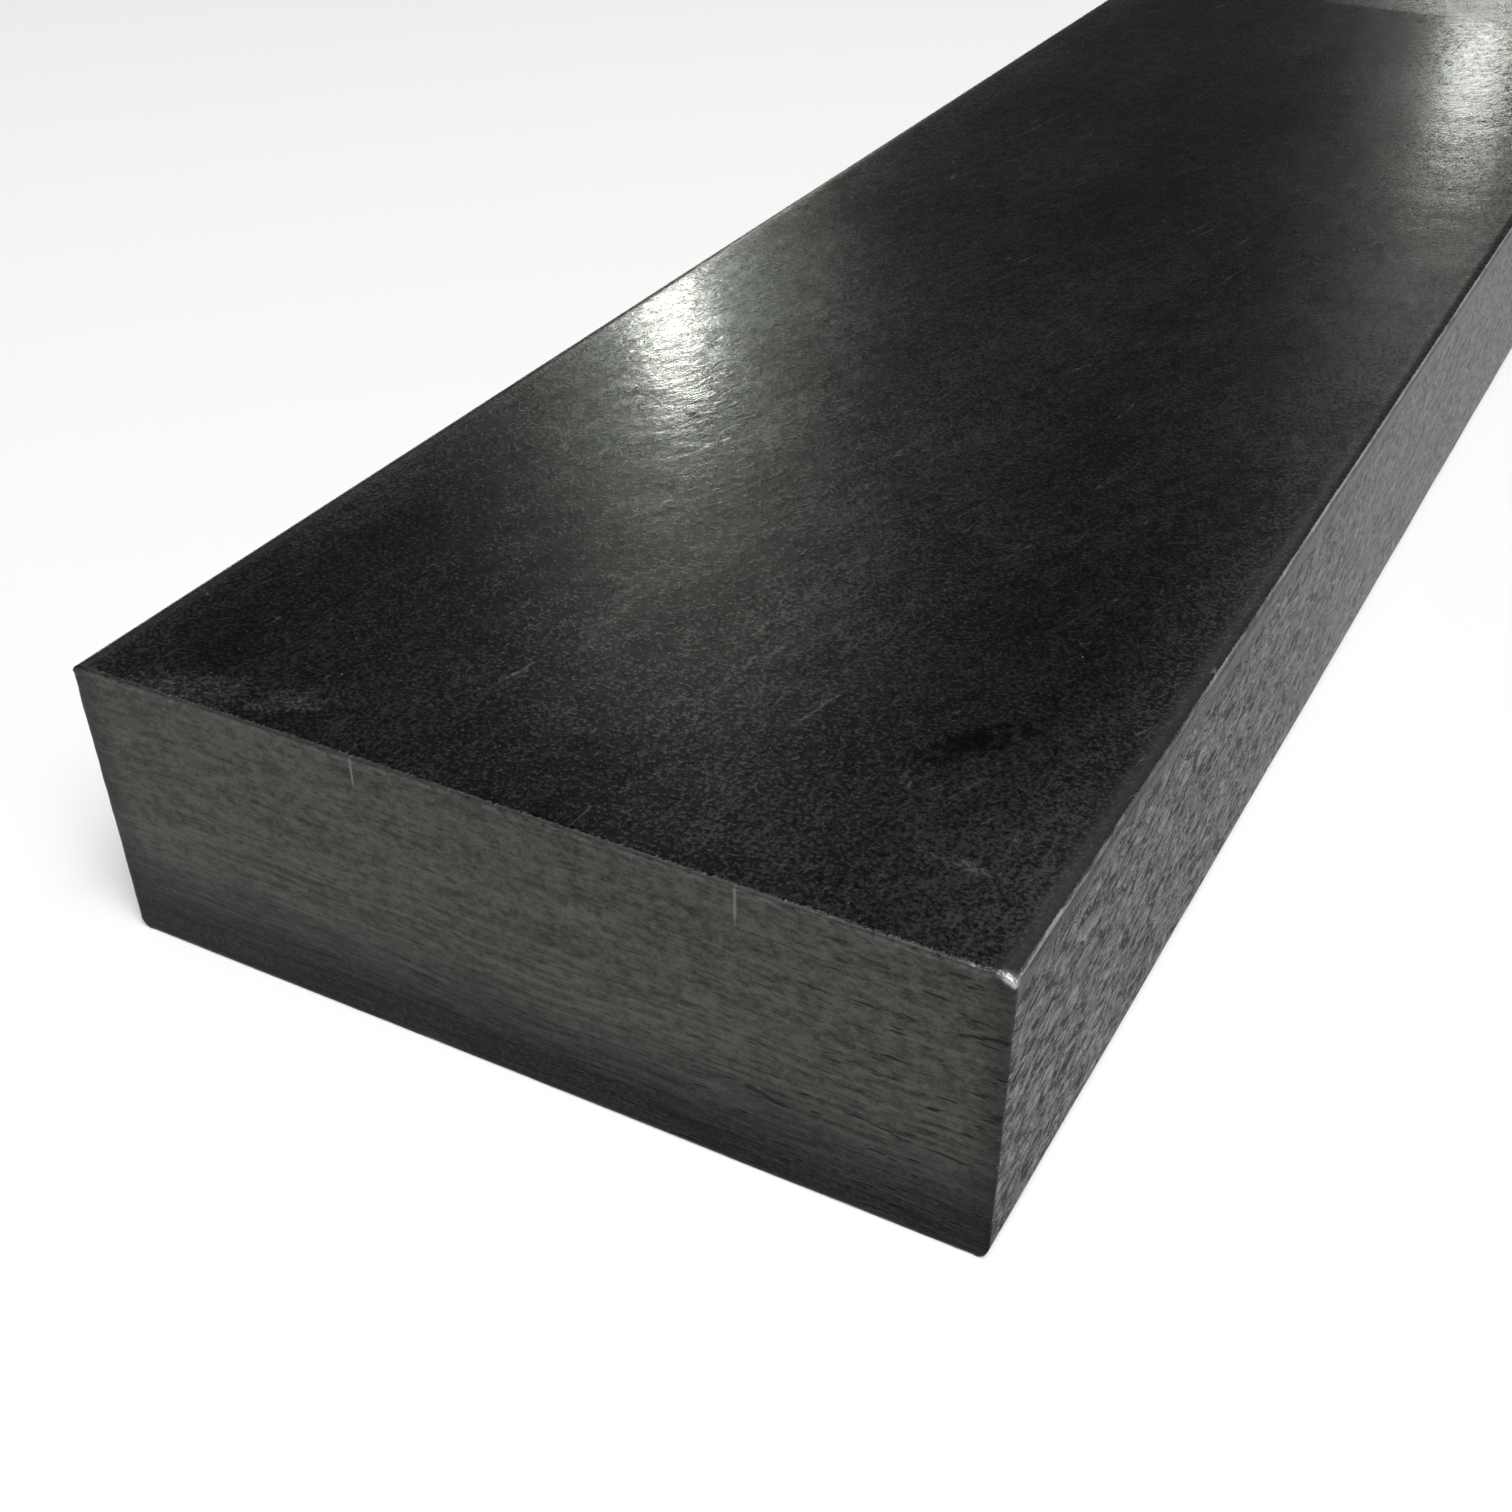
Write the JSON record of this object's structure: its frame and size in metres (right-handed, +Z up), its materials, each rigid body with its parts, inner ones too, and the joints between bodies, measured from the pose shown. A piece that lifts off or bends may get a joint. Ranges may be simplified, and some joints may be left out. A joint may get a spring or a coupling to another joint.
{
  "type": "steel flat bar",
  "caption": "Solid rectangular steel bar with rolled, rounded long edges and square saw-cut ends, used as a flat working slab.",
  "frame": {"origin": "centre of the bottom face", "axes": "+X across the width, +Y along the length, +Z up through the thickness, out of the upper wide face"},
  "size_m": [0.0762, 0.3048, 0.0254],
  "materials": {
    "dark_rolled_steel": "dark oiled rolling skin on the long faces, grey bandsaw feed marks on the ends, bright worn edges"
  },
  "bodies": {
    "root": {"flat_bar": "dark_rolled_steel"}
  },
  "joints": []
}
